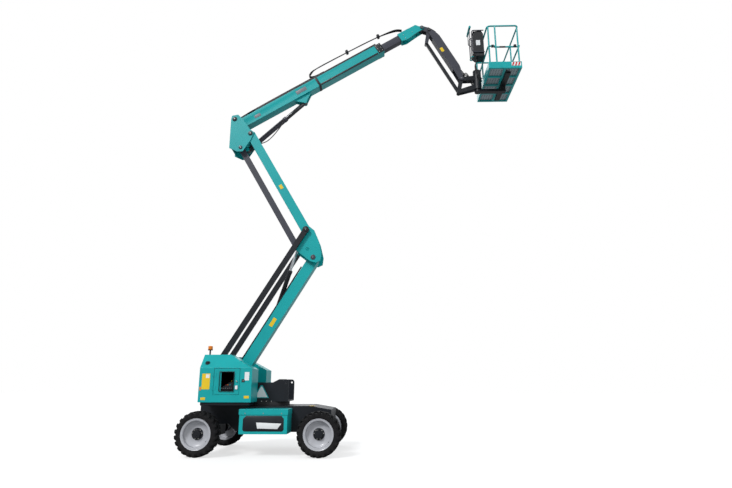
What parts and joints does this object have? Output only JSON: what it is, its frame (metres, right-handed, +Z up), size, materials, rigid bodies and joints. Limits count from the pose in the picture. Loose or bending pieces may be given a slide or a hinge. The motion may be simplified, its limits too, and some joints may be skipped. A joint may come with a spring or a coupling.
{
  "type": "articulating boom lift",
  "caption": "Self-propelled articulating boom lift with two riser stages, a telescoping main boom, a jib and a caged platform.",
  "frame": {"origin": "on the ground, under the middle of the whole machine's box as it stands, riser half raised", "axes": "+X from the chassis towards the platform, +Z up, the operator's ground controls on the -Y side"},
  "size_m": [7.2892, 2.3, 10.1661],
  "materials": {
    "teal_paint": "semi-gloss",
    "black_paint": "satin",
    "dark_grey_paint": "satin",
    "rim_grey": "satin",
    "tyre_rubber": "matt",
    "chrome": "polished",
    "amber_lens": "gloss",
    "cast_iron": "matt",
    "black_plastic": "matt"
  },
  "bodies": {
    "chassis": {"axle_fixed": "black_paint", "axle_steer": "black_paint", "chassis_frame": "black_paint", "side_box_far": "teal_paint", "side_box_near": "teal_paint", "side_lid_far": "teal_paint", "side_lid_near": "teal_paint", "slew_ring": "cast_iron"},
    "turret": {"ballast": "cast_iron", "beacon": "amber_lens", "control_panel": "black_plastic", "counterweight": "cast_iron", "engine": "cast_iron", "hood_far": "teal_paint", "hood_near": "teal_paint", "turret_frame": "black_paint"},
    "basket": {"basket_support": "black_paint", "console": "black_plastic", "floor": "teal_paint", "guard_rail": "teal_paint", "toe_board": "teal_paint"},
    "boom_carrier": {"boom_carrier": "teal_paint"},
    "extension": {"boom_head": "teal_paint", "inner_boom": "dark_grey_paint"},
    "boom": {"cable_track": "black_plastic", "outer_boom": "teal_paint"},
    "door_far": {"door_far": "teal_paint"},
    "door_near": {"door_near": "teal_paint"},
    "entry_bar": {"entry_bar": "teal_paint"},
    "jib": {"jib": "dark_grey_paint"},
    "jib_head": {"jib_head": "dark_grey_paint"},
    "jib_link": {"jib_link": "black_paint"},
    "knee": {"knee": "teal_paint"},
    "knuckle_far": {"knuckle_far": "black_paint"},
    "knuckle_near": {"knuckle_near": "black_paint"},
    "lift_barrel": {"lift_cylinder_barrel": "black_paint"},
    "lift_rod": {"lift_cylinder_rod": "chrome"},
    "lower_links": {"lower_link_far": "black_paint", "lower_link_near": "black_paint"},
    "lower_riser": {"lower_riser": "teal_paint"},
    "platform_bracket": {"platform_bracket": "black_paint"},
    "wheel_fixed_far": {"rim_fixed_far": "rim_grey", "tyre_fixed_far": "tyre_rubber"},
    "wheel_fixed_near": {"rim_fixed_near": "rim_grey", "tyre_fixed_near": "tyre_rubber"},
    "wheel_steer_far": {"rim_steer_far": "rim_grey", "tyre_steer_far": "tyre_rubber"},
    "wheel_steer_near": {"rim_steer_near": "rim_grey", "tyre_steer_near": "tyre_rubber"},
    "riser_barrel": {"riser_cylinder_barrel": "black_paint"},
    "riser_rod": {"riser_cylinder_rod": "chrome"},
    "upper_link": {"upper_link": "black_paint"},
    "upper_riser": {"upper_riser": "teal_paint"}
  },
  "joints": [
    {"name": "steer_near", "type": "hinge", "parent": "chassis", "child": "knuckle_near", "pos_m": [-3.22213, -0.66, 0.4225], "axis": [0, 0, 1], "range_deg": [-35, 35]},
    {"name": "steer_far", "type": "hinge", "parent": "chassis", "child": "knuckle_far", "pos_m": [-3.22213, 0.66, 0.4225], "axis": [0, 0, 1], "range_deg": [-35.5, 35.5]},
    {"name": "spin_steer_near", "type": "hinge", "parent": "knuckle_near", "child": "wheel_steer_near", "pos_m": [-3.22213, -1, 0.4225], "axis": [0, 1, 0], "continuous": true},
    {"name": "spin_steer_far", "type": "hinge", "parent": "knuckle_far", "child": "wheel_steer_far", "pos_m": [-3.22213, 1, 0.4225], "axis": [0, 1, 0], "continuous": true},
    {"name": "spin_fixed_near", "type": "hinge", "parent": "chassis", "child": "wheel_fixed_near", "pos_m": [-0.88213, -1, 0.4225], "axis": [0, 1, 0], "continuous": true},
    {"name": "spin_fixed_far", "type": "hinge", "parent": "chassis", "child": "wheel_fixed_far", "pos_m": [-0.88213, 1, 0.4225], "axis": [0, 1, 0], "continuous": true},
    {"name": "turret_slew", "type": "hinge", "parent": "chassis", "child": "turret", "pos_m": [-2.05213, 0, 1], "axis": [0, 0, 1], "continuous": true},
    {"name": "door_near_swing", "type": "hinge", "parent": "turret", "child": "door_near", "pos_m": [-3.00913, -0.9593, 1.149], "axis": [0, 0, 1], "range_deg": [-110, 0]},
    {"name": "door_far_swing", "type": "hinge", "parent": "turret", "child": "door_far", "pos_m": [-3.00913, 0.9593, 1.149], "axis": [0, 0, 1], "range_deg": [0, 110]},
    {"name": "riser_lift", "type": "hinge", "parent": "turret", "child": "lower_riser", "pos_m": [-2.89513, 0, 1.24], "axis": [0, -1, 0], "range_deg": [-57, 10]},
    {"name": "lower_link_swing", "type": "hinge", "parent": "turret", "child": "lower_links", "pos_m": [-3.06613, 0, 1.862], "axis": [0, -1, 0], "range_deg": [-57.5, 10.5]},
    {"name": "knee_level", "type": "hinge", "parent": "lower_riser", "child": "knee", "pos_m": [-1.1823, 0, 4.07938], "axis": [0, -1, 0], "range_deg": [-10.5, 57.5]},
    {"name": "upper_riser_swing", "type": "hinge", "parent": "knee", "child": "upper_riser", "pos_m": [-1.3533, 0, 4.70138], "axis": [0, -1, 0], "range_deg": [-10.5, 57.5]},
    {"name": "upper_link_swing", "type": "hinge", "parent": "knee", "child": "upper_link", "pos_m": [-1.5693, 0, 4.34038], "axis": [0, -1, 0], "range_deg": [-10.5, 57.5]},
    {"name": "boom_carrier_level", "type": "hinge", "parent": "upper_riser", "child": "boom_carrier", "pos_m": [-2.75553, 0, 7.12035], "axis": [0, -1, 0], "range_deg": [-57.5, 10.5]},
    {"name": "riser_barrel_swing", "type": "hinge", "parent": "lower_riser", "child": "riser_barrel", "pos_m": [-2.03931, 0, 2.771], "axis": [0, -1, 0], "range_deg": [-2.62, 0.87]},
    {"name": "riser_rod_slide", "type": "slide", "parent": "riser_barrel", "child": "riser_rod", "axis": [0.2869, 0, 0.958], "range_m": [-0.438, 0.081]},
    {"name": "boom_lift", "type": "hinge", "parent": "boom_carrier", "child": "boom", "pos_m": [-3.15553, 0, 7.50035], "axis": [0, -1, 0], "range_deg": [-31, 44]},
    {"name": "lift_barrel_swing", "type": "hinge", "parent": "boom_carrier", "child": "lift_barrel", "pos_m": [-2.84553, 0, 6.79035], "axis": [0, -1, 0], "range_deg": [-26.07, 36.8]},
    {"name": "lift_rod_slide", "type": "slide", "parent": "lift_barrel", "child": "lift_rod", "axis": [0.7254, 0, 0.6883], "range_m": [-0.432, 0.612]},
    {"name": "boom_extension", "type": "slide", "parent": "boom", "child": "extension", "axis": [0.8554, 0, 0.518], "range_m": [0, 1.35]},
    {"name": "jib_head_level", "type": "hinge", "parent": "extension", "child": "jib_head", "pos_m": [1.40993, 0, 10.08876], "axis": [0, -1, 0], "range_deg": [-44.5, 31.5]},
    {"name": "jib_lift", "type": "hinge", "parent": "jib_head", "child": "jib", "pos_m": [1.58893, 0, 10.02476], "axis": [0, -1, 0], "range_deg": [-3, 120]},
    {"name": "jib_link_swing", "type": "hinge", "parent": "jib_head", "child": "jib_link", "pos_m": [1.51893, 0, 9.68475], "axis": [0, -1, 0], "range_deg": [-3.5, 120.5]},
    {"name": "platform_level", "type": "hinge", "parent": "jib", "child": "platform_bracket", "pos_m": [2.34463, 0, 8.62127], "axis": [0, -1, 0], "range_deg": [-120.5, 3.5]},
    {"name": "platform_rotate", "type": "hinge", "parent": "platform_bracket", "child": "basket", "pos_m": [2.74463, 0, 8.45427], "axis": [0, 0, 1], "range_deg": [-80, 80]},
    {"name": "entry_bar_lift", "type": "hinge", "parent": "basket", "child": "entry_bar", "pos_m": [3.07463, -0.7087, 9.05427], "axis": [0, -1, 0], "range_deg": [0, 70]}
  ],
  "couplings": [
    {"joint": "steer_far", "follows": "steer_near", "ratio": 1},
    {"joint": "lower_link_swing", "follows": "riser_lift", "ratio": 1},
    {"joint": "knee_level", "follows": "riser_lift", "ratio": -1},
    {"joint": "upper_riser_swing", "follows": "riser_lift", "ratio": -1},
    {"joint": "upper_link_swing", "follows": "riser_lift", "ratio": -1},
    {"joint": "boom_carrier_level", "follows": "riser_lift", "ratio": 1},
    {"joint": "riser_barrel_swing", "follows": "riser_lift", "ratio": 0.0371},
    {"joint": "riser_rod_slide", "follows": "riser_lift", "m_per_rad": 0.4353},
    {"joint": "lift_barrel_swing", "follows": "boom_lift", "ratio": 0.825},
    {"joint": "lift_rod_slide", "follows": "boom_lift", "m_per_rad": 0.79},
    {"joint": "jib_head_level", "follows": "boom_lift", "ratio": -1},
    {"joint": "jib_link_swing", "follows": "jib_lift", "ratio": 1},
    {"joint": "platform_level", "follows": "jib_lift", "ratio": -1}
  ]
}
